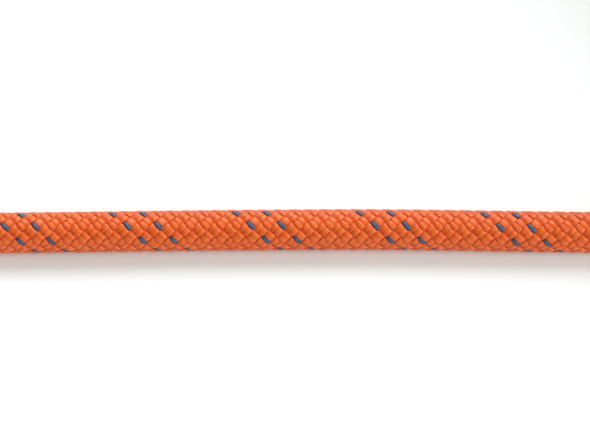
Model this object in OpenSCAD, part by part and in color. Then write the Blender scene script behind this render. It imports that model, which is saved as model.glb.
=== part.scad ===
// Dynamic climbing rope: 60 m of kernmantle rope, stored in a tied hank with one end drawn out straight.
// Millimetres, +Z up. The origin is the middle of the hank's underside.

/* [Rope] */
// Diameter of the rope over its braided sheath
rope_d = 10.2; // [9.8:0.1:10.6]
// Thickness of the braided sheath
sheath_t = 1.05; // [1.0:0.05:1.2]
// Diameter of one twisted core strand
strand_d = 1.9; // [1.7:0.05:1.9]
// Diameter of the marker thread in the middle of the core
marker_d = 0.3; // [0.2:0.05:0.3]

/* [Drawn-out end] */
// Length of rope that lies straight, without its sealed end
stretch_l = 180; // [120:5:240]

/* [Rope ends] */
// Length of the shrunk sleeve on each end
sleeve_l = 25; // [15:1:35]
// Wall of the shrunk sleeve
sleeve_t = 0.3; // [0.2:0.05:0.5]
// Length of the fused seal on each end
seal_l = 3; // [2:0.5:5]

/* [Hank] */
// Straight length of each run of the hank
run_l = 166; // [150:2:200]
// Radius of the tightest fold, at the rope's centreline
fold_r = 31; // [31:1:40]
// Turns beside each other in one layer
hank_turns = 7; // [4:1:8]
// Layers on each other
hank_layers = 12; // [6:1:14]

/* [Ties] */
// Width of a tie's webbing
tie_w = 25; // [16:1:30]
// Thickness of the webbing
tie_t = 1.2; // [0.8:0.1:1.5]
// Distance of each tie from the middle of the hank
tie_x = 40; // [30:1:45]
// Length of the tie's closed flap
flap_l = 60; // [40:5:80]
// Outer radius of the tie where it turns round an edge of the hank
tie_corner_r = 6; // [5.5:0.5:8]

/* [Hidden] */
STRANDS = [for (i = [1 : 12]) str("core_strand_", i < 10 ? "0" : "", i)];
$fn = 64;

// Clearance between solids that lie against each other
gap = 0.05;
rope_r = rope_d / 2;
bore_d = rope_d - 2 * sheath_t;
// The shrunk sleeve presses the rope in, so that its outside stays flush with the rope
pressed_d = rope_d - 2 * sleeve_t - 2 * gap;

// The hank: nested turns with round ends, laid in flat layers
outer_r = fold_r + (hank_turns - 1) * rope_d;
hank_r = outer_r + rope_r;
hank_h = hank_layers * rope_d;
run_x = run_l / 2;
// The drawn-out end leaves the hank along its front run, in its lowest layer
line_y = -outer_r;
line_z = rope_r;
// Middle of the rope between the stretch and the hank, as [along, aside, up] from the first run's start
run_out_route = [
    [-145, 0, 0],
    [-125, 0, 0],
    [-105, -0.5, 0],
    [-85, -1, 0],
    [-65, -1, 0],
    [-45, -0.5, 0],
    [-20, 0, 0],
    [0, 0, 0]
];
stretch_x1 = run_out_route[0][0] - run_x;
stretch_x0 = stretch_x1 - stretch_l;

// The other end lies along the front run of the top layer, just past the right tie
tail_x = tie_x + tie_w / 2 + 1.5;
tail_l = 3;
tail_z = hank_h - rope_r;

// Three core strands round the marker thread, and nine round those
inner_strands = 3;
inner_ring_r = strand_d / sqrt(3) + gap;
outer_ring_r = bore_d / 2 - strand_d / 2 - gap;

sheath_c = [0.87, 0.41, 0.24];
core_c = [0.93, 0.93, 0.9];
marker_c = [0.2, 0.35, 0.7];
seal_c = [0.35, 0.2, 0.13];
sleeve_c = [0.1, 0.1, 0.11];
tie_c = [0.16, 0.17, 0.19];

// A flat outline with straight runs along X and round ends
module stadium(radius) {
    square([run_l, 2 * radius], center = true);
    for (side = [-1, 1])
        translate([side * run_x, 0])
            circle(radius, $fn = 128);
}

// A rectangle with round corners, centred, width along X
module rounded_rectangle(width, height, radius) {
    square([width - 2 * radius, height], center = true);
    square([width, height - 2 * radius], center = true);
    for (x = [-1, 1], y = [-1, 1])
        translate([x * (width / 2 - radius), y * (height / 2 - radius)])
            circle(radius);
}

// A cylinder along +X that starts at x, on the line given by y and z
module rod(x, length, diameter, y = line_y, z = line_z) {
    translate([x, y, z])
        rotate([0, 90, 0])
            cylinder(h = length, d = diameter);
}

// A round tube swept along a route: one ring of sides round each point, square to the way there
function direction(route, i) =
    let (a = route[max(i - 1, 0)], b = route[min(i + 1, len(route) - 1)])
    (b - a) / norm(b - a);
function ring_point(centre, along, radius, angle) =
    let (side = cross([0, 0, 1], along) / norm(cross([0, 0, 1], along)), up = cross(along, side))
    centre + radius * (cos(angle) * side + sin(angle) * up);
module swept_tube(route, radius, sides) {
    rings = len(route);
    points = [
        for (i = [0 : rings - 1], k = [0 : sides - 1])
            ring_point(route[i], direction(route, i), radius, 360 * k / sides)
    ];
    walls = [
        for (i = [0 : rings - 2], k = [0 : sides - 1])
            let (next = (k + 1) % sides)
            [i * sides + k, (i + 1) * sides + k, (i + 1) * sides + next, i * sides + next]
    ];
    start = [for (k = [0 : sides - 1]) k];
    end = [for (k = [sides - 1 : -1 : 0]) (rings - 1) * sides + k];
    polyhedron(points = points, faces = concat(walls, [start, end]));
}

module sheath_stretch() {
    color(sheath_c)
        difference() {
            union() {
                rod(stretch_x0, stretch_l, rope_d);
                rod(stretch_x0 - sleeve_l, sleeve_l, pressed_d);
            }
            rod(stretch_x0 - sleeve_l, sleeve_l + stretch_l, bore_d);
        }
}

function strand_offset(i) =
    i < inner_strands
        ? inner_ring_r * [cos(120 * i), sin(120 * i)]
        : outer_ring_r * [cos(40 * i + 20), sin(40 * i + 20)];

module core_strand(i) {
    color(core_c)
        rod(
            stretch_x0 - sleeve_l, sleeve_l + stretch_l, strand_d,
            line_y + strand_offset(i)[0], line_z + strand_offset(i)[1]
        );
}

module marker_thread() {
    color(marker_c)
        rod(stretch_x0 - sleeve_l, sleeve_l + stretch_l, marker_d);
}

// A fused end: a short disc with a rounded rim that looks along +X
module end_seal() {
    rim = 1;
    rotate([0, 90, 0])
        rotate_extrude() {
            square([pressed_d / 2 - rim, seal_l]);
            square([pressed_d / 2, seal_l - rim]);
            translate([pressed_d / 2 - rim, seal_l - rim])
                circle(rim);
        }
}

// A shrunk sleeve along +X, flush with the outside of the rope
module end_sleeve() {
    rotate([0, 90, 0])
        difference() {
            cylinder(h = sleeve_l, d = rope_d);
            translate([0, 0, -1])
                cylinder(h = sleeve_l + 2, d = pressed_d + 2 * gap);
        }
}

module end_seal_a() {
    color(seal_c)
        translate([stretch_x0 - sleeve_l, line_y, line_z])
            mirror([1, 0, 0])
                end_seal();
}

module end_sleeve_a() {
    color(sleeve_c)
        translate([stretch_x0 - sleeve_l, line_y, line_z])
            end_sleeve();
}

module run_out() {
    first_run = [-run_x, line_y, line_z];
    color(sheath_c)
        swept_tube([for (p = run_out_route) first_run + p], rope_r, 12);
}

// What a tie takes away from the hank: everything outside the inside of its band
module tie_groove(x) {
    translate([x - tie_w / 2 - gap, 0, hank_h / 2])
        rotate([90, 0, 90])
            linear_extrude(tie_w + 2 * gap)
                difference() {
                    square([2 * hank_r + 2, hank_h + 2], center = true);
                    tie_inside();
                }
}

module tie_inside() {
    rounded_rectangle(2 * (hank_r - tie_t), hank_h - 2 * tie_t, tie_corner_r - tie_t);
}

module hank() {
    beside_line = hank_r + line_y + rope_r + gap;
    color(sheath_c)
        difference() {
            linear_extrude(hank_h)
                stadium(hank_r);
            // room for the line that comes in along the floor
            translate([-run_x - hank_r - 1, -hank_r - 1, -1])
                cube([hank_r + 1, beside_line + 1, rope_d + gap + 1]);
            // room for the end that lies along the top
            translate([tail_x, -hank_r - 1, hank_h - rope_d - gap])
                cube([run_x + hank_r, beside_line + 1, rope_d + gap + 1]);
            tie_groove(-tie_x);
            tie_groove(tie_x);
        }
}

module rope_tail() {
    color(sheath_c) {
        rod(tail_x, tail_l, rope_d, z = tail_z);
        rod(tail_x + tail_l, sleeve_l, pressed_d, z = tail_z);
    }
}

module end_seal_b() {
    color(seal_c)
        translate([tail_x + tail_l + sleeve_l, line_y, tail_z])
            end_seal();
}

module end_sleeve_b() {
    color(sleeve_c)
        translate([tail_x + tail_l, line_y, tail_z])
            end_sleeve();
}

// A band of webbing round the hank, closed by a flap on top
module hank_tie(x) {
    color(tie_c) {
        translate([x - tie_w / 2, 0, hank_h / 2])
            rotate([90, 0, 90])
                linear_extrude(tie_w)
                    difference() {
                        rounded_rectangle(2 * hank_r, hank_h, tie_corner_r);
                        tie_inside();
                    }
        translate([x, 0, hank_h])
            linear_extrude(tie_t)
                rounded_rectangle(tie_w, flap_l, 2);
    }
}

module hank_tie_left() {
    hank_tie(-tie_x);
}

module hank_tie_right() {
    hank_tie(tie_x);
}

sheath_stretch();
for (i = [0 : len(STRANDS) - 1])
    core_strand(i);
marker_thread();
end_seal_a();
end_sleeve_a();
run_out();
hank();
rope_tail();
end_seal_b();
end_sleeve_b();
hank_tie_left();
hank_tie_right();
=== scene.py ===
"""Looks of the climbing rope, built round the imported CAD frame. Metres, +Z up."""

import math

import bpy
import numpy as np
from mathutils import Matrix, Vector


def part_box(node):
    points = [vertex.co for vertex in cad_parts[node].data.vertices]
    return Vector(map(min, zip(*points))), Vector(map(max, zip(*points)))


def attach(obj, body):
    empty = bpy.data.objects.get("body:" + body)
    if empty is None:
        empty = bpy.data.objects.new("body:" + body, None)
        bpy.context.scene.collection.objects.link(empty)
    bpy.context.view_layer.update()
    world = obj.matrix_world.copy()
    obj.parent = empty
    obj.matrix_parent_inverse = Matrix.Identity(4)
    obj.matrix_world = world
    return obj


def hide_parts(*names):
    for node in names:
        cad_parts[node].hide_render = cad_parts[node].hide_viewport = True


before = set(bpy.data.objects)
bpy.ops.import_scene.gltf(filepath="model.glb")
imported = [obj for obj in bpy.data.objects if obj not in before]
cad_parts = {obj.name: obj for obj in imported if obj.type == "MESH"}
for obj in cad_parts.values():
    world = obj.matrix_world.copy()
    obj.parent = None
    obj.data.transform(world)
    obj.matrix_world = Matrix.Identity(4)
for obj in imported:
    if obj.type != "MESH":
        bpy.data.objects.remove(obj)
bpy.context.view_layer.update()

# ---------------------------------------------------------------- sizes, as in part.scad

ROPE_D = 0.0102
ROPE_R = ROPE_D / 2
CORE_R = 0.00405
PRESSED_R = 0.00475  # under a shrunk sleeve
STRAND_D = 0.0019
SLEEVE_L = 0.025
RUN_L = 0.166
FOLD_R = 0.031
TURNS = 7
LAYERS = 12
TIE_W = 0.025
TIE_T = 0.0012
TIE_X = 0.040
TIE_CORNER_R = 0.006
FLAP_L = 0.060

OUTER_R = FOLD_R + (TURNS - 1) * ROPE_D
HANK_R = OUTER_R + ROPE_R
HANK_H = LAYERS * ROPE_D
RUN_X = RUN_L / 2
LINE_Y = -OUTER_R
LINE_Z = ROPE_R
STRETCH_X0 = -0.433  # the rope's sealed end
YARNS_TO_X = -TIE_X  # the yarns are separate up to here, under the left tie
LINING = 0.00015  # up to there the rope's own tube stands this far off the core, inside the yarns
TAIL_X = 0.082  # the other sealed end
TAIL_Z = HANK_H - ROPE_R

# Middle of the rope from its sealed end to the hank's first run: x, and the offset from the straight line
ROUTE = [
    (-0.433, -0.0009), (-0.420, -0.0008), (-0.400, -0.0006), (-0.380, -0.0003),
    (-0.360, 0.0000), (-0.340, 0.0003), (-0.320, 0.0005), (-0.300, 0.0006),
    (-0.280, 0.0004), (-0.260, 0.0000), (-0.240, -0.0003), (-0.228, -0.0004),
    (-0.208, -0.0005), (-0.188, -0.0007), (-0.168, -0.0010), (-0.148, -0.0010),
    (-0.128, -0.0005), (-0.103, 0.0), (-0.083, 0.0),
]

# ---------------------------------------------------------------- the braid

CARRIERS = 8  # in each direction
LAY = 0.03101  # length of one turn of a carrier, where the tracer's phase is measured
LAY_GROWTH = 0.00025  # how much longer each next turn is
LAY_HANK = 0.0332
PHASE_X = -0.2966  # a place where the first tracer's carrier is on top
PHASE_ANGLE = 104.0  # its angle round the rope there, from +Y towards +Z
TWIST = 70  # degrees per metre that the stretch is twisted
TRACER_CARRIERS = (0, 6)


def turns_at(distance):
    """Turns of the braid at a distance along the rope, counted from PHASE_X."""
    u = np.asarray(distance, float) - (PHASE_X - STRETCH_X0)
    end = -RUN_X - PHASE_X
    near = np.minimum(u, end)
    turns = (np.sqrt(LAY**2 + 2 * LAY_GROWTH * near) - LAY) / LAY_GROWTH
    return turns + (u - near) / LAY_HANK


def start_angle(distance):
    """Where the first carrier's count of turns begins round the rope, in turns, at a distance along it."""
    u = np.asarray(distance, float) - (PHASE_X - STRETCH_X0)
    return (PHASE_ANGLE + TWIST * np.minimum(u, -RUN_X - PHASE_X)) / 360


# ---------------------------------------------------------------- the rope's line

LINE_STEP = 0.004
RUN_POINTS = 14
FOLD_POINTS = 26
CROSSING_POINTS = 18
CROSSING_MARGIN = 0.1  # the share of a back run, at each end, that is still in line with its own ring
UNEVEN_X, UNEVEN_Y, UNEVEN_Z = 0.0005, 0.0003, 0.0002  # how far the turns stray from their places
EVEN_L = 0.3  # the rope is even this far from its drawn-out end
FADE_IN_L, FADE_OUT_L = 0.5, 0.3  # unevenness grows over the first after that, and fades over the last
PRESSED_L = 0.013  # half of the length over which a tie presses the turns fully
PRESSED_FADE = 0.027  # over this length its pressing fades out


def smooth(t):
    t = np.clip(t, 0, 1)
    return t * t * (3 - 2 * t)


def through(points, step):
    """A smooth line through given points (Catmull-Rom)."""
    p = np.array(points, float)
    p = np.vstack([2 * p[0] - p[1], p, 2 * p[-1] - p[-2]])
    line = []
    for a, b, c, d in zip(p, p[1:], p[2:], p[3:]):
        square = 2 * a - 5 * b + 4 * c - d
        cube = 3 * b - a - 3 * c + d
        for t in np.linspace(0, 1, max(2, round(np.linalg.norm(c - b) / step)), endpoint=False):
            line.append(0.5 * (2 * b + (c - a) * t + square * t**2 + cube * t**3))
    return np.array(line)


def hank_line():
    """All turns of the hank: nested turns with round ends, each layer wound inwards or outwards in turn."""
    points = []
    for turn in range(TURNS * LAYERS):
        layer, ring = divmod(turn, TURNS)
        inwards = layer % 2 == 0
        r = OUTER_R - ring * ROPE_D if inwards else FOLD_R + ring * ROPE_D
        z = ROPE_D * (layer + 0.5)
        lift = ring == TURNS - 1
        r_next = r if lift else r - ROPE_D if inwards else r + ROPE_D
        z_next = z + ROPE_D if lift else z
        last = turn == TURNS * LAYERS - 1
        front_end = TAIL_X if last else RUN_X
        points += [(x, -r, z) for x in np.linspace(-RUN_X, front_end, RUN_POINTS, endpoint=last)]
        if last:
            break
        fold = np.linspace(-math.pi / 2, math.pi / 2, FOLD_POINTS, endpoint=False)
        points += [(RUN_X + r * math.cos(a), r * math.sin(a), z) for a in fold]
        for t in np.linspace(0, 1, CROSSING_POINTS, endpoint=False):
            cross = float(smooth((t - CROSSING_MARGIN) / (1 - 2 * CROSSING_MARGIN)))
            points.append((RUN_X - RUN_L * t, r + (r_next - r) * cross, z + (z_next - z) * cross))
        points += [(-RUN_X - r_next * math.cos(a), -r_next * math.sin(a), z_next) for a in fold]
    return np.array(points)


def settle(line):
    """Small unevenness of the turns, and the waist that each tie presses into the hank."""
    s = lengths(line)
    line = line.copy()
    free = smooth((s - EVEN_L) / FADE_IN_L) * smooth((s[-1] - s) / FADE_OUT_L)
    line[:, 0] += free * UNEVEN_X * np.sin(s * 7.3) * np.sin(s * 1.91 + 1)
    line[:, 1] += free * UNEVEN_Y * np.sin(s * 9.1 + 2) * np.sign(line[:, 1])
    line[:, 2] += free * UNEVEN_Z * np.sin(s * 11.7 + 4) * (line[:, 2] > ROPE_D)
    pressed = 1 - smooth((np.abs(np.abs(line[:, 0]) - TIE_X) - PRESSED_L) / PRESSED_FADE)
    line[:, 1] *= 1 - pressed * TIE_T / OUTER_R
    middle = HANK_H / 2
    line[:, 2] = middle + (line[:, 2] - middle) * (1 - pressed * TIE_T / (middle - ROPE_R))
    return line


def lengths(line):
    return np.concatenate([[0], np.cumsum(np.linalg.norm(np.diff(line, axis=0), axis=1))])


def frames(line):
    """For each point of a line: the way along it, the level way to its left, and the way up."""
    along = np.gradient(line, axis=0)
    along /= np.linalg.norm(along, axis=1)[:, None]
    left = np.cross([0, 0, 1], along)
    left /= np.linalg.norm(left, axis=1)[:, None]
    return along, left, np.cross(along, left)


straight = through([(x, LINE_Y + offset, LINE_Z) for x, offset in ROUTE], LINE_STEP)
rope_line = settle(np.vstack([straight, hank_line()]))
rope_s = lengths(rope_line)
first_run = slice(0, len(straight) + RUN_POINTS)
seam_s = float(np.interp(YARNS_TO_X, rope_line[first_run, 0], rope_s[first_run]))

# ---------------------------------------------------------------- camera

ELEVATION = math.radians(55)
CAMERA_D = 0.75
VIEW_X = -0.317  # where the camera looks, along the rope
VIEW_W = 0.1473  # width of what it takes in there
ABOVE = 0.0025  # how far the middle of its view is above the rope's middle

camera = bpy.data.objects.new("camera", bpy.data.cameras.new("camera"))
bpy.context.scene.collection.objects.link(camera)
bpy.context.scene.camera = camera
back = Vector((0, -math.cos(ELEVATION), math.sin(ELEVATION)))
up = Vector((0, math.sin(ELEVATION), math.cos(ELEVATION)))
target = Vector((VIEW_X, LINE_Y, LINE_Z)) + ABOVE * up
camera.location = target + CAMERA_D * back
camera.rotation_euler = (math.pi / 2 - ELEVATION, 0, 0)
camera.data.lens = camera.data.sensor_width * CAMERA_D / VIEW_W
camera.data.clip_end = 50

# ---------------------------------------------------------------- meshes


def add(name, vertices, faces):
    """A new object with smooth shading."""
    mesh = bpy.data.meshes.new(name)
    mesh.from_pydata([tuple(v) for v in vertices], [], [tuple(f) for f in faces])
    mesh.polygons.foreach_set("use_smooth", [True] * len(mesh.polygons))
    piece = bpy.data.objects.new(name, mesh)
    bpy.context.scene.collection.objects.link(piece)
    return piece


def tube_faces(rings, sides, first=0):
    """Faces of a tube of rings with an end face on each end. first is its first vertex's number."""
    i, k = np.meshgrid(np.arange(rings - 1), np.arange(sides), indexing="ij")
    a, b = i * sides + k, i * sides + (k + 1) % sides
    walls = np.stack([a, b, b + sides, a + sides], -1).reshape(-1, 4) + first
    faces = walls.tolist()
    faces.append([first + n for n in range(sides)][::-1])
    faces.append([first + (rings - 1) * sides + n for n in range(sides)])
    return faces


def attribute(piece, name, values):
    """Store a number for each vertex, for a material to read."""
    layer = piece.data.attributes.new(name, "FLOAT", "POINT")
    layer.data.foreach_set("value", np.asarray(values, np.float32).ravel())


def place(piece, slot, *nodes):
    """Say what a piece rides on and the CAD nodes that it stands in for. Its slot is not used."""
    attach(piece, "root")
    if nodes:
        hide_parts(*nodes)
    return piece


# ---------------------------------------------------------------- materials


class Shader:
    """A small builder of node materials: each call adds a node and gives back its output."""

    def __init__(self, name):
        self.material = bpy.data.materials.new(name)
        self.material.use_nodes = True
        self.tree = self.material.node_tree
        self.bsdf = self.tree.nodes["Principled BSDF"]

    def put(self, node, socket, value):
        if isinstance(value, bpy.types.NodeSocket):
            self.tree.links.new(value, node.inputs[socket])
        else:
            node.inputs[socket].default_value = value

    def math(self, operation, a, b=0.0, c=0.0):
        node = self.tree.nodes.new("ShaderNodeMath")
        node.operation = operation
        for socket, value in enumerate((a, b, c)):
            self.put(node, socket, value)
        return node.outputs[0]

    def plus(self, a, b):
        return self.math("ADD", a, b)

    def minus(self, a, b):
        return self.math("SUBTRACT", a, b)

    def times(self, a, b):
        return self.math("MULTIPLY", a, b)

    def attribute(self, name):
        node = self.tree.nodes.new("ShaderNodeAttribute")
        node.attribute_name = name
        return node.outputs["Fac"]

    def way(self, name):
        node = self.tree.nodes.new("ShaderNodeAttribute")
        node.attribute_name = name
        return node.outputs["Vector"]

    def uv(self, name):
        node = self.tree.nodes.new("ShaderNodeUVMap")
        node.uv_map = name
        parts = self.tree.nodes.new("ShaderNodeSeparateXYZ")
        self.put(parts, 0, node.outputs[0])
        return parts.outputs[0], parts.outputs[1]

    def vector(self, x, y, z=0.0):
        node = self.tree.nodes.new("ShaderNodeCombineXYZ")
        for socket, value in enumerate((x, y, z)):
            self.put(node, socket, value)
        return node.outputs[0]

    def position(self):
        return self.tree.nodes.new("ShaderNodeTexCoord").outputs["Object"]

    def noise(self, vector, scale, detail=2.0):
        node = self.tree.nodes.new("ShaderNodeTexNoise")
        self.put(node, "Vector", vector)
        self.put(node, "Scale", scale)
        self.put(node, "Detail", detail)
        return node.outputs["Fac"]

    def ramp(self, value, low, high, to_low=0.0, to_high=1.0):
        node = self.tree.nodes.new("ShaderNodeMapRange")
        node.interpolation_type = "SMOOTHSTEP"
        for socket, number in enumerate((value, low, high, to_low, to_high)):
            self.put(node, socket, number)
        return node.outputs[0]

    def mix(self, share, a, b):
        node = self.tree.nodes.new("ShaderNodeMix")
        node.data_type = "RGBA"
        self.put(node, 0, share)
        self.put(node, 6, a)
        self.put(node, 7, b)
        return node.outputs[2]

    def bump(self, height, distance, strength=1.0, normal=None):
        node = self.tree.nodes.new("ShaderNodeBump")
        self.put(node, "Strength", strength)
        self.put(node, "Distance", distance)
        self.put(node, "Height", height)
        if normal:
            self.put(node, "Normal", normal)
        return node.outputs[0]

    def finish(self, colour, normal=None, **sockets):
        self.put(self.bsdf, "Base Color", colour)
        if normal is not None:
            self.put(self.bsdf, "Normal", normal)
        for name, value in sockets.items():
            self.put(self.bsdf, name.replace("_", " "), value)
        return self.material


# The yarns' own dyes are ORANGE and BLUE. The darker colours are painted shade for where yarns dip under and
# into grooves, and the darkest is the painted shade at the bottom of the braid's grooves. The paler colours
# are a painted highlight on the yarns' tops.
ORANGE_SHADED = (0.45, 0.041, 0.003, 1)
ORANGE = (0.67, 0.092, 0.008, 1)
ORANGE_LIT = (0.81, 0.175, 0.034, 1)
GROOVE_SHADE = (0.22, 0.018, 0.002, 1)
BLUE_SHADED = (0.004, 0.005, 0.012, 1)
BLUE = (0.044, 0.072, 0.146, 1)
BLUE_LIT = (0.088, 0.152, 0.235, 1)


def yarn_material(name, deep, middle, pale, side_shade):
    """Filament yarn. It reads lift (-1 under, 1 on top), across, side (round the yarn) and along (metres).
    Its colour has painted shade where lift is low, a painted highlight where lift is high, and painted shade
    on the yarn's sides by the last argument's amount.
    """
    m = Shader(name)
    lift, across, along = m.attribute("lift"), m.attribute("across"), m.attribute("along")
    filaments = m.noise(m.vector(m.times(along, 400), m.times(across, 9)), 1.0, 3.0)
    patches = m.noise(m.position(), 260.0, 2.0)
    # painted shade and highlight from lift, with random tone from filaments and patches
    shade_and_tone = m.plus(m.times(lift, 0.40), m.times(filaments, 0.30))
    shade_and_tone = m.plus(shade_and_tone, m.times(patches, 0.30))
    # painted shade on the yarn's sides, where they go down into the grooves
    shade_and_tone = m.minus(shade_and_tone, m.ramp(m.attribute("side"), 0.35, 0.80, 0.0, side_shade))
    colour = m.mix(m.ramp(shade_and_tone, 0.10, 0.62), deep, middle)
    colour = m.mix(m.ramp(shade_and_tone, 0.60, 0.95), colour, pale)
    normal = m.bump(filaments, 0.00010, 0.5)
    return m.finish(
        colour, normal, Roughness=0.35, Specular_IOR_Level=0.33, Anisotropic=0.5,
        Tangent=m.way("across_fibres"),
    )


def rope_material():
    """The same braid on a plain tube: UV layer weave holds turns of the braid and turns round the rope."""
    m = Shader("braided sheath")
    turn, round_rope = m.uv("weave")
    s_yarn = m.times(m.minus(round_rope, turn), CARRIERS)
    z_yarn = m.times(m.plus(round_rope, turn), CARRIERS)
    s_cell, z_cell = m.math("ROUND", s_yarn), m.math("ROUND", z_yarn)
    s_off, z_off = m.minus(s_yarn, s_cell), m.minus(z_yarn, z_cell)
    z_on_top = m.math("FLOORED_MODULO", m.minus(z_cell, s_cell), 2)
    z_on_top = m.math("GREATER_THAN", z_on_top, 0.5)
    s_on_top = m.minus(1, z_on_top)
    across = m.plus(m.times(s_on_top, s_off), m.times(z_on_top, z_off))
    along = m.plus(m.times(s_on_top, z_off), m.times(z_on_top, s_off))
    lane = m.times(m.minus(m.math("ABSOLUTE", across), 0.25), 4)
    crown = m.minus(1, m.times(lane, lane))
    arch = m.math("COSINE", m.times(along, math.pi))
    lengthwise = m.times(m.math("POWER", m.math("ABSOLUTE", arch), 0.6), 0.62)
    crosswise = m.times(m.math("POWER", m.math("ABSOLUTE", crown), 0.5), 0.38)
    height = m.plus(lengthwise, crosswise)
    filaments = m.noise(m.vector(m.times(along, 2.5), m.times(across, 14), turn), 1.0, 2.0)
    carrier = m.math("FLOORED_MODULO", m.plus(s_cell, 0.5), CARRIERS)
    tracer = m.plus(*[
        m.math("COMPARE", carrier, number + 0.5, 0.4) for number in TRACER_CARRIERS
    ])
    tracer = m.times(m.times(tracer, s_on_top), m.math("GREATER_THAN", across, 0))
    patches = m.noise(m.position(), 120.0, 2.0)
    # height paints shade into the braid's grooves and a highlight on its crowns; filaments and patches add
    # random tone
    shade_and_tone = m.plus(m.times(height, 0.72), m.times(filaments, 0.22))
    shade_and_tone = m.plus(shade_and_tone, m.times(patches, 0.16))
    orange = m.mix(m.ramp(shade_and_tone, 0.20, 0.62), GROOVE_SHADE, ORANGE_SHADED)
    orange = m.mix(m.ramp(shade_and_tone, 0.45, 0.90), orange, ORANGE)
    orange = m.mix(m.ramp(shade_and_tone, 0.90, 1.10), orange, ORANGE_LIT)
    blue = m.mix(m.ramp(shade_and_tone, 0.30, 0.78), BLUE_SHADED, BLUE)
    blue = m.mix(m.ramp(shade_and_tone, 0.84, 1.05), blue, BLUE_LIT)
    normal = m.bump(height, 0.00050, 1.0)
    normal = m.bump(filaments, 0.00010, 0.5, normal)
    return m.finish(
        m.mix(tracer, orange, blue), normal,
        Roughness=0.42, Specular_IOR_Level=0.45,
    )


def core_material():
    m = Shader("white core yarn")
    across, along = m.attribute("across"), m.attribute("along")
    filaments = m.noise(m.vector(m.times(along, 300), m.times(across, 8)), 1.0, 3.0)
    colour = m.mix(filaments, (0.70, 0.70, 0.66, 1), (0.92, 0.92, 0.89, 1))
    return m.finish(colour, m.bump(filaments, 0.00012, 0.5), Roughness=0.55, Sheen_Weight=0.2)


def marker_material():
    m = Shader("marker thread")
    streaks = m.noise(m.position(), 2500.0)
    colour = m.mix(streaks, (0.03, 0.09, 0.42, 1), (0.05, 0.14, 0.6, 1))
    return m.finish(colour, m.bump(streaks, 0.00005), Roughness=0.6)


def seal_material():
    """Fused polyamide: the sheath's colour scorched at the rim, the pale core melted in the middle."""
    m = Shader("fused end")
    out = m.attribute("out")
    melt = m.noise(m.position(), 900.0, 3.0)
    edge = m.plus(out, m.times(m.minus(melt, 0.5), 0.35))
    colour = m.mix(m.ramp(edge, 0.55, 0.80), (0.72, 0.58, 0.42, 1), (0.60, 0.12, 0.035, 1))
    colour = m.mix(m.ramp(edge, 0.88, 1.05), colour, (0.10, 0.03, 0.014, 1))
    normal = m.bump(melt, 0.00025, 0.6)
    return m.finish(colour, normal, Roughness=0.28, Coat_Weight=0.25, Coat_Roughness=0.2)


def sleeve_material():
    m = Shader("shrunk sleeve")
    haze = m.noise(m.position(), 700.0, 3.0)
    wear = m.noise(m.position(), 170.0, 4.0)
    colour = m.mix(m.ramp(wear, 0.45, 0.75), (0.012, 0.012, 0.014, 1), (0.035, 0.035, 0.038, 1))
    normal = m.bump(haze, 0.00006, 0.5)
    return m.finish(colour, normal, Roughness=0.36, Coat_Weight=0.15, Coat_Roughness=0.3)


def webbing_material():
    """Plain-woven webbing: UV layer weave holds threads along and threads across."""
    m = Shader("tie webbing")
    along, across = m.uv("weave")
    rib = m.math("ABSOLUTE", m.math("SINE", m.times(along, math.pi)))
    thread = m.math("ABSOLUTE", m.math("SINE", m.times(across, math.pi)))
    height = m.times(m.math("POWER", rib, 0.7), m.math("POWER", thread, 0.5))
    fuzz = m.noise(m.position(), 1500.0, 3.0)
    # the weave's height paints shade in the dips between the threads, and fuzz adds random tone
    shade_and_tone = m.plus(m.times(height, 0.7), m.times(fuzz, 0.3))
    colour = m.mix(shade_and_tone, (0.008, 0.009, 0.011, 1), (0.045, 0.049, 0.058, 1))
    normal = m.bump(fuzz, 0.00008, 0.4, m.bump(height, 0.0002, 0.8))
    return m.finish(colour, normal, Roughness=0.75, Sheen_Weight=0.3, Sheen_Roughness=0.5)


def stitch_material():
    m = Shader("tie stitching")
    twist = m.noise(m.position(), 3000.0)
    colour = m.mix(twist, (0.10, 0.11, 0.12, 1), (0.20, 0.21, 0.23, 1))
    return m.finish(colour, m.bump(twist, 0.00005), Roughness=0.6)


def floor_material():
    m = Shader("table")
    grain = m.noise(m.position(), 40.0, 2.0)
    return m.finish(m.mix(grain, (0.845, 0.878, 0.868, 1), (0.860, 0.893, 0.883, 1)), Roughness=0.7)


orange_yarn = yarn_material("orange yarn", ORANGE_SHADED, ORANGE, ORANGE_LIT, 0.0)
blue_yarn = yarn_material("blue tracer yarn", BLUE_SHADED, BLUE, BLUE_LIT, 0.70)

# ---------------------------------------------------------------- the rope as one cord

TUBE_SIDES = 12


def rope_tube():
    """The whole rope: the inside of the sheath where its yarns are separate, then its outside."""
    along, left, up_way = frames(rope_line)
    radius = np.where(rope_s < seam_s, CORE_R + LINING, ROPE_R)
    radius = np.where(rope_s > rope_s[-1] - SLEEVE_L, PRESSED_R, radius)
    angle = 2 * np.pi * np.arange(TUBE_SIDES) / TUBE_SIDES
    ring = np.cos(angle)[None, :, None] * left[:, None] + np.sin(angle)[None, :, None] * up_way[:, None]
    vertices = (rope_line[:, None] + radius[:, None, None] * ring).reshape(-1, 3)
    rings = len(rope_line)
    piece = add("rope", vertices, tube_faces(rings, TUBE_SIDES))
    weave = piece.data.uv_layers.new(name="weave")
    turn = turns_at(rope_s)
    start = start_angle(rope_s)
    i, k = np.meshgrid(np.arange(rings - 1), np.arange(TUBE_SIDES), indexing="ij")
    u = np.stack([turn[i], turn[i], turn[i + 1], turn[i + 1]], -1)
    v = np.stack([k, k + 1, k + 1, k], -1) / TUBE_SIDES
    v -= np.stack([start[i], start[i], start[i + 1], start[i + 1]], -1)
    walls = np.stack([u, v], -1).reshape(-1, 2)
    ends = np.zeros((2 * TUBE_SIDES, 2))
    weave.data.foreach_set("uv", np.vstack([walls, ends]).astype(np.float32).ravel())
    piece.data.materials.append(rope_material())
    return piece


rope = place(rope_tube(), "sheath", "run_out", "hank", "rope_tail", "sheath_stretch")

# ---------------------------------------------------------------- the sheath's yarns

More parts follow.
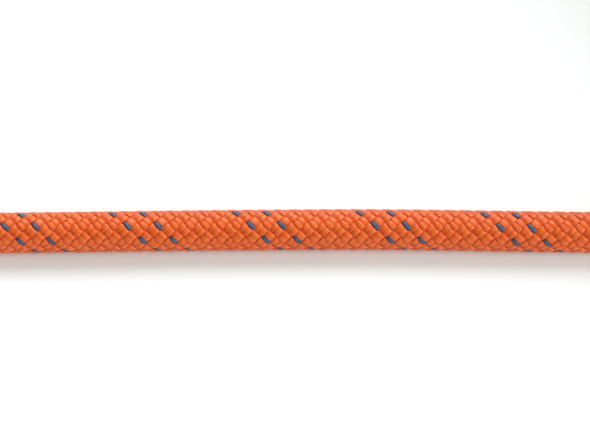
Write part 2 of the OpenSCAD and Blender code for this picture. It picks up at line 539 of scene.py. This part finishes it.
FLOAT_R = ROPE_R + 0.00006  # the tops of the floats stand a little proud of the rope's mean outside
YARN_H = 0.00052
YARN_ANGLE = 0.78  # between a yarn and the rope's line
BOXY = 0.8  # 1 is an ellipse, and less is a squarer cross-section
WAVE = 0.00027  # how far a yarn goes in and out as it passes over and under
SKEW = {1: 0.10, -1: 0.34}  # how far a float's top leans towards its later end, each way round
FULLNESS = {1: 1.67, -1: 1.37}  # a yarn's width over its place's, each way, before its neighbours cut it
CRIMP = 0.19  # how much nearer to the rope's line a yarn lies where it is on top
TILT = 0.45  # how a yarn's cross-section leans from square to the rope (0) towards square to the yarn (0.5)
LONGER = 0.03  # how much more the yarns of one direction lie on top than the others
CROWN = 0.00008  # how much lower a carrier's sides are than its middle
SHARE = 1 / (2 * CARRIERS)  # a carrier's half width, in turns round the rope
TOUCH = 0.0004  # the gap between yarns, in the same turns
TRACER_EDGE = 0.015  # where a tracer yarn meets its neighbour, in the same turns from the carrier's middle
WANDER = 0.0012  # how far a yarn strays to its sides, in the same turns
UNEVEN_H = 0.04  # how much its thickness varies
MOUTH_GAP, MOUTH_L = 0.001, 0.004  # the sheath swells to full size this far from its sleeve, over this length
WAVES = 2 * np.pi * CARRIERS  # phase of the over and under for each turn of the braid
YARN_SIDES = 14
YARN_STEP = 0.00026

PAST_SEAM = 0.03
NEAR = rope_s < seam_s + PAST_SEAM
NEAR_FACTS = [rope_line[NEAR], *(f[NEAR] for f in frames(rope_line)[1:])]


def beside(s, angle, r):
    """Points at a distance s along the rope, an angle round it and a radius from its middle."""
    middle, left, up_way = (
        np.stack([np.interp(s, rope_s[NEAR], fact[:, c]) for c in range(3)], -1) for fact in NEAR_FACTS
    )
    return middle + r[..., None] * (np.cos(angle)[..., None] * left + np.sin(angle)[..., None] * up_way)


def yarn(way, carrier, low, high, seed):
    """Points of one yarn and its attributes. way is 1 or -1 round the rope, low and high its two sides."""
    s = np.arange(0, seam_s, YARN_STEP)
    phase = WAVES * turns_at(s) + (0 if way == 1 else np.pi)
    swing = np.cos(phase) + SKEW[way] * np.sin(2 * phase) + LONGER * way
    lift = np.sin(0.5 * np.pi * np.clip(swing, -1, 1))
    outside = PRESSED_R + (FLOAT_R - PRESSED_R) * smooth((s - SLEEVE_L - MOUTH_GAP) / MOUTH_L)
    wander = np.sin(s * 431 + seed * 1.7) * np.sin(s * 97 + seed * 2.9)
    height = YARN_H * (1 + UNEVEN_H * wander) / 2
    centre_r = outside - YARN_H / 2 - WAVE + WAVE * lift
    phi = 2 * np.pi * (np.arange(YARN_SIDES) + 0.5) / YARN_SIDES
    side = np.sign(np.cos(phi)) * np.abs(np.cos(phi)) ** BOXY
    rise = np.sign(np.sin(phi)) * np.abs(np.sin(phi)) ** BOXY
    shift = WANDER * wander[:, None]
    aside = (low + high) / 2 + shift + (high - low) / 2 * FULLNESS[way] * side
    aside = np.clip(aside, low + shift + TOUCH, high + shift - TOUCH)
    at = s[:, None] - way * TILT * aside * LAY
    turn = turns_at(at)
    path = way * turn - CRIMP * np.sin(WAVES * turn) / WAVES
    angle = 2 * np.pi * (start_angle(at) + carrier / CARRIERS + path + aside)
    r = centre_r[:, None] + height[:, None] * rise - CROWN * (aside / SHARE) ** 2
    return (
        beside(np.clip(at, 0, None), angle, r).reshape(-1, 3),
        np.repeat(lift, YARN_SIDES),
        np.tile(side + 3 * seed, len(s)),
        np.repeat(s / np.cos(YARN_ANGLE) + seed, YARN_SIDES),
        np.tile(np.abs(side), len(s)),
    )


def carrier_piece(way, carrier):
    """The two yarns of one carrier."""
    traced = way == 1 and carrier in TRACER_CARRIERS
    border = TRACER_EDGE if traced else 0
    vertices, faces, facts, colours = [], [], [], []
    for number, (low, high) in enumerate(((-SHARE, border), (border, SHARE))):
        points, *values = yarn(way, carrier, low, high, carrier * 4 + way + number + 2)
        new = tube_faces(len(points) // YARN_SIDES, YARN_SIDES, first=sum(len(v) for v in vertices))
        vertices.append(points)
        faces += new
        facts.append(values)
        colours += [int(traced and number == 1)] * len(new)
    name = f"sheath_yarns_{'s' if way == 1 else 'z'}{carrier + 1}"
    piece = add(name, np.vstack(vertices), faces)
    for label, values in zip(("lift", "across", "along", "side"), zip(*facts)):
        attribute(piece, label, np.concatenate(values))
    fibre_way(piece)
    piece.data.materials.append(orange_yarn)
    piece.data.materials.append(blue_yarn)
    piece.data.polygons.foreach_set("material_index", colours)
    place(piece, "sheath")


def fibre_way(piece):
    """A vector attribute across the filaments, at each vertex of a carrier's two yarns."""
    points = np.array([v.co for v in piece.data.vertices]).reshape(-1, YARN_SIDES, 3)
    along = np.gradient(points.reshape(2, -1, YARN_SIDES, 3), axis=1).reshape(-1, YARN_SIDES, 3)
    out = points - points.mean(1, keepdims=True)
    across = np.cross(along, out)
    across /= np.linalg.norm(across, axis=2, keepdims=True) + 1e-12
    layer = piece.data.attributes.new("across_fibres", "FLOAT_VECTOR", "POINT")
    layer.data.foreach_set("vector", across.astype(np.float32).ravel())


for way in (1, -1):
    for number in range(CARRIERS):
        carrier_piece(way, number)

# ---------------------------------------------------------------- core strands and marker

PLIES = 3
PLY_SIDES = 8
PLY_STEP = 0.0010
PLY_LAY = 0.0095
PLY_SQUEEZE = 1.05  # the plies press into each other
STRANDS = 12
INNER_STRANDS = 3
OUTER_STRANDS = STRANDS - INNER_STRANDS
STRAND_GAP = 0.00005
STRAND_INSET = 0.0002  # of its plies' ends from the ends of the CAD strand
core_yarn = core_material()


def strand_place(number):
    """Distance of a strand from the rope's middle, and its angle round it."""
    if number < INNER_STRANDS:
        return STRAND_D / math.sqrt(3) + STRAND_GAP, math.radians(360 / INNER_STRANDS * number)
    return CORE_R - STRAND_D / 2 - STRAND_GAP, math.radians(360 / OUTER_STRANDS * (number + 0.5))


def core_strand(number):
    """Three plies twisted together, to the left in one strand and to the right in the next."""
    r, angle = strand_place(number)
    box_low, box_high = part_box(f"core_strand_{number + 1:02d}")
    length = box_high[0] - box_low[0]
    s = np.linspace(STRAND_INSET, length - STRAND_INSET, round(length / PLY_STEP))
    way = 1 if number % 2 else -1
    ply_r = STRAND_D / 2 / (1 + 2 / math.sqrt(3))
    from_middle = STRAND_D / 2 - ply_r
    phi = 2 * np.pi * np.arange(PLY_SIDES) / PLY_SIDES
    vertices, faces = [], []
    for ply in range(PLIES):
        turn = way * 2 * np.pi * s / PLY_LAY + 2 * np.pi * ply / PLIES
        level = r * math.cos(angle) + from_middle * np.cos(turn)[:, None] + ply_r * PLY_SQUEEZE * np.cos(phi)
        height = r * math.sin(angle) + from_middle * np.sin(turn)[:, None] + ply_r * PLY_SQUEEZE * np.sin(phi)
        points = beside(s[:, None] + 0 * level, np.arctan2(height, level), np.hypot(level, height))
        faces += tube_faces(len(s), PLY_SIDES, first=len(vertices) * len(s) * PLY_SIDES)
        vertices.append(points.reshape(-1, 3))
    piece = add(f"core_yarns_{number + 1:02d}", np.vstack(vertices), faces)
    attribute(piece, "across", np.tile(np.cos(phi) * 2, len(s) * PLIES))
    attribute(piece, "along", np.tile(np.repeat(s, PLY_SIDES), PLIES))
    piece.data.materials.append(core_yarn)
    place(piece, "core", f"core_strand_{number + 1:02d}")


for number in range(STRANDS):
    core_strand(number)

marker = bpy.data.objects[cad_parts["marker_thread"].name]
marker.data.materials.clear()
marker.data.materials.append(marker_material())

# ---------------------------------------------------------------- sealed ends

END_SIDES = 72
fused = seal_material()
film = sleeve_material()


def turned(name, profile, lumps, origin, way):
    """A shape turned about X. profile holds (x, radius) and lumps(x, angle) adds to the radius."""
    x, r = np.array(profile).T
    angle = 2 * np.pi * np.arange(END_SIDES) / END_SIDES
    radius = np.maximum(r[:, None] + lumps(x[:, None], angle[None, :]), 0.00002)
    vertices = np.stack(
        [x[:, None] * way + 0 * radius, radius * np.cos(angle) * way, radius * np.sin(angle)], -1
    )
    return add(name, vertices.reshape(-1, 3) + np.array(origin), tube_faces(len(x), END_SIDES))


def seal(name, node, origin, way):
    """The melted end: a low dome with a lumpy rim, where yarns have run together."""
    bend_x, bend_r, dome = 0.0016, 0.0009, 0.0004
    rim = PRESSED_R - bend_r
    side = [(0.0, PRESSED_R - 0.0003), (0.0004, PRESSED_R), (0.0012, PRESSED_R + 0.00005)]
    bend = [(bend_x + bend_r * math.sin(a), rim + bend_r * math.cos(a)) for a in np.linspace(0.1, 1.4, 7)]
    inwards = np.linspace(0, 1, 14)[1:]
    face = [(bend_x + bend_r + dome * (1 - (1 - f) ** 2), rim * (1 - f)) for f in inwards]

    def lumps(x, angle):
        strands = 0.00012 * np.cos(9 * angle + 0.6) * smooth((x - 0.0012) / 0.001)
        return strands + 0.00006 * np.sin(16 * angle + 1) + 0.00004 * np.sin(37 * angle + 900 * x)

    piece = turned(name, side + bend + face, lumps, origin, way)
    points = np.array([v.co for v in piece.data.vertices]) - np.array(origin)
    attribute(piece, "out", np.hypot(points[:, 1], points[:, 2]) / PRESSED_R)
    piece.data.materials.append(fused)
    return place(piece, "seal", node)


def sleeve(name, node, origin, way):
    """A shrunk film over the rope's end. It shows the braid under it faintly, and its mouths curl in."""
    wall, curl, curl_l, slack, lip = 0.00028, 0.00012, 0.0005, 0.00004, 0.0001
    x = np.linspace(0, SLEEVE_L, 110)
    mouth = curl * (np.exp(-x / curl_l) + np.exp((x - SLEEVE_L) / curl_l))
    outside = list(zip(x, ROPE_R - slack - mouth))
    inside = [(x[-1] - lip, ROPE_R - wall), (x[0] + lip, ROPE_R - wall)]

    def lumps(x, angle):
        round_it, along_it = CARRIERS * angle, WAVES * x / LAY
        braid = np.cos(round_it + along_it) * np.cos(round_it - along_it)
        crease = np.exp(-(((x - 0.009 - 0.002 * np.sin(angle)) / 0.0005) ** 2)) * np.sin(angle + 1) ** 2
        return 0.00004 * braid - 0.00008 * crease

    profile = [inside[1], *outside, inside[0], inside[1]]
    piece = turned(name, profile, lumps, origin, way)
    piece.data.materials.append(film)
    return place(piece, "sleeve", node)


near_end = (STRETCH_X0, rope_line[0, 1], LINE_Z)
far_end = (TAIL_X, LINE_Y, TAIL_Z)
seal("fused_end_a", "end_seal_a", near_end, -1)
far_seal = seal("fused_end_b", "end_seal_b", far_end, 1)
sleeve("shrunk_sleeve_a", "end_sleeve_a", near_end, 1)
far_sleeve = sleeve("shrunk_sleeve_b", "end_sleeve_b", far_end, -1)

# ---------------------------------------------------------------- ties

RIB = 0.0011  # from one cross thread of the webbing to the next
THREADS = 22  # across the webbing
BAND_BOXY = 0.55, 0.30  # the squareness of its cross-section, across and through it: 1 is an ellipse
RIB_DIP = 0.10  # how much thinner the webbing is between two ribs
SELVAGE_RISE = 0.08  # how much thicker it is at its selvages
BAND_SIDES = 40
RINGS_PER_RIB = 4
STITCH_L = 0.0026
STITCH_R = 0.00024
STITCH_SIDES = 8
STITCH_PITCH = STITCH_L * 1.25
SELVAGE_AT, SELVAGE_W = 0.93, 0.05  # of the webbing's half width
FLAP_STEP_L = 0.006  # over which the flap climbs on to the band
FLAP_CORNER_R = 0.005
webbing = webbing_material()
sewing = stitch_material()


def strap(name, path, outwards, width, loop=False):
    """Webbing along a path in a plane across X. outwards is the way out of its upper face at each point."""
    phi = 2 * np.pi * (np.arange(BAND_SIDES) + 0.5) / BAND_SIDES
    across = np.sign(np.cos(phi)) * np.abs(np.cos(phi)) ** BAND_BOXY[0]
    through_it = np.sign(np.sin(phi)) * np.abs(np.sin(phi)) ** BAND_BOXY[1]
    s = lengths(path)
    rib = np.abs(np.sin(np.pi * s / RIB))
    selvage = np.exp(-(((np.abs(across) - SELVAGE_AT) / SELVAGE_W) ** 2))
    thick = 1 - RIB_DIP + RIB_DIP * rib[:, None] * (1 - selvage) + SELVAGE_RISE * selvage
    x = width[:, None] / 2 * across
    vertices = (
        path[:, None]
        + x[..., None] * np.array([1.0, 0, 0])
        + (TIE_T / 2 * thick * through_it)[..., None] * outwards[:, None]
    ).reshape(-1, 3)
    rings = len(path)
    spans = rings if loop else rings - 1
    i, k = np.meshgrid(np.arange(spans), np.arange(BAND_SIDES), indexing="ij")
    j, n = (i + 1) % rings, (k + 1) % BAND_SIDES
    faces = np.stack([i * BAND_SIDES + k, i * BAND_SIDES + n, j * BAND_SIDES + n, j * BAND_SIDES + k], -1)
    faces = faces.reshape(-1, 4).tolist()
    if not loop:
        faces.append(list(range(BAND_SIDES))[::-1])
        faces.append([(rings - 1) * BAND_SIDES + side for side in range(BAND_SIDES)])
    piece = add(name, vertices, faces)
    weave = piece.data.uv_layers.new(name="weave")
    u = np.stack([i, i, i + 1, i + 1], -1) / RINGS_PER_RIB
    v = np.stack([across[k], across[n], across[n], across[k]], -1) * THREADS / 2
    flat = np.vstack([np.stack([u, v], -1).reshape(-1, 2), np.zeros((0 if loop else 2 * BAND_SIDES, 2))])
    weave.data.foreach_set("uv", flat.astype(np.float32).ravel())
    piece.data.materials.append(webbing)
    return piece


def band_path():
    """Middle of the webbing's thickness all round the hank, in the YZ plane, and the way outwards."""
    half_w, half_h, r = HANK_R - TIE_T / 2, HANK_H / 2 - TIE_T / 2, TIE_CORNER_R - TIE_T / 2
    outline, ways = [], []
    for number, (y_way, z_way) in enumerate(((1, 1), (-1, 1), (-1, -1), (1, -1))):
        y, z = y_way * (half_w - r), z_way * (half_h - r)
        for a in np.radians(90 * number + np.linspace(0, 90, 13)):
            outline.append((0, y + r * math.cos(a), HANK_H / 2 + z + r * math.sin(a)))
            ways.append((0, math.cos(a), math.sin(a)))
    outline.append(outline[0])
    ways.append(ways[0])
    outline, ways = np.array(outline), np.array(ways)
    s = lengths(outline)
    rings = round(s[-1] / RIB) * RINGS_PER_RIB
    at = np.arange(rings) * s[-1] / rings
    path, outwards = (np.stack([np.interp(at, s, f[:, c]) for c in range(3)], -1) for f in (outline, ways))
    return path, outwards / np.linalg.norm(outwards, axis=1)[:, None]


def flap_path():
    """The tie's closed end: it climbs on to the band and lies on it."""
    s = np.arange(0, FLAP_L, RIB / RINGS_PER_RIB)
    step_up = smooth(s / FLAP_STEP_L)
    z = HANK_H - TIE_T * 0.45 + TIE_T * step_up
    path = np.stack([0 * s, s - FLAP_L / 2, z], -1)
    return path, np.tile([0.0, 0, 1], (len(s), 1))


def stitches(name, x):
    """Sewing that holds the hook pad under the flap: two long rows and a cross row near its free end."""
    first, last, side = -FLAP_L / 2 + 0.016, FLAP_L / 2 - 0.004, TIE_W / 2 - 0.0028
    crossing = np.arange(-side + 0.002, side - 0.001, STITCH_PITCH)
    rows = [((sign * side, y), (0, 1)) for sign in (-1, 1) for y in np.arange(first, last, STITCH_PITCH)]
    rows += [((cross, y), (1, 0)) for y in (first - 0.001, last) for cross in crossing]
    phi = 2 * np.pi * np.arange(STITCH_SIDES) / STITCH_SIDES
    t = np.linspace(-1, 1, 9)
    radius = STITCH_R * np.sqrt(np.maximum(1 - t**6, 0.02))
    rise = HANK_H + TIE_T * 1.03 - 0.00012 * t**2
    vertices, faces = [], []
    for (cx, cy), (dx, dy) in rows:
        faces += tube_faces(len(t), STITCH_SIDES, first=len(vertices) * len(t) * STITCH_SIDES)
        aside = radius[:, None] * np.cos(phi)
        lie = (t * STITCH_L / 2)[:, None]
        height = rise[:, None] + radius[:, None] * np.sin(phi)
        points = np.stack([x + cx + lie * dx + aside * dy, cy + lie * dy - aside * dx, height], -1)
        vertices.append(points.reshape(-1, 3))
    piece = add(name, np.vstack(vertices), faces)
    piece.data.materials.append(sewing)
    place(piece, "tie")


def tie(side, x):
    """A band round the hank, the flap that closes it, and the flap's sewing."""
    path, outwards = band_path()
    shift = np.array([x, 0, 0])
    band = strap(f"tie_band_{side}", path + shift, outwards, np.full(len(path), TIE_W), loop=True)
    place(band, "tie", f"hank_tie_{side}")
    path, outwards = flap_path()
    to_end = FLAP_L - lengths(path)
    into_corner = np.maximum(FLAP_CORNER_R - to_end, 0)
    width = TIE_W - 2 * (FLAP_CORNER_R - np.sqrt(np.maximum(FLAP_CORNER_R**2 - into_corner**2, 0)))
    flap = strap(f"tie_flap_{side}", path + shift, outwards, width)
    place(flap, "tie")
    stitches(f"tie_stitches_{side}", x)


tie("left", -TIE_X)
tie("right", TIE_X)

# ---------------------------------------------------------------- floor and light

FLOOR_SIZE = 40.0
bpy.ops.mesh.primitive_plane_add(size=FLOOR_SIZE)
floor = bpy.context.active_object
floor.name = "floor"
floor.data.materials.append(floor_material())

world = bpy.data.worlds.new("studio")
bpy.context.scene.world = world
world.use_nodes = True
world.node_tree.nodes["Background"].inputs["Color"].default_value = (0.89, 1.0, 0.985, 1)
world.node_tree.nodes["Background"].inputs["Strength"].default_value = 0.37


def light(name, kind, azimuth, elevation, distance, energy):
    """A lamp aimed at the middle of the camera's view. Azimuth 0 is behind the rope, 90 is to its right."""
    a, e = math.radians(azimuth), math.radians(elevation)
    way = Vector((math.sin(a) * math.cos(e), math.cos(a) * math.cos(e), math.sin(e)))
    lamp = bpy.data.objects.new(name, bpy.data.lights.new(name, kind))
    lamp.data.energy = energy
    lamp.location = Vector((VIEW_X, LINE_Y, 0)) + way * distance
    lamp.rotation_euler = way.to_track_quat("Z", "Y").to_euler()
    bpy.context.scene.collection.objects.link(lamp)
    return lamp.data


key_lamp = light("key", "SUN", 22, 45, 2.0, 3.1)
key_lamp.angle = math.radians(54)
side_lamp = light("side", "AREA", 112, 24, 3.0, 93)
side_lamp.size = 1.36
side_lamp.color = (0.97, 1.0, 0.985)
bpy.context.scene.view_settings.view_transform = "Standard"
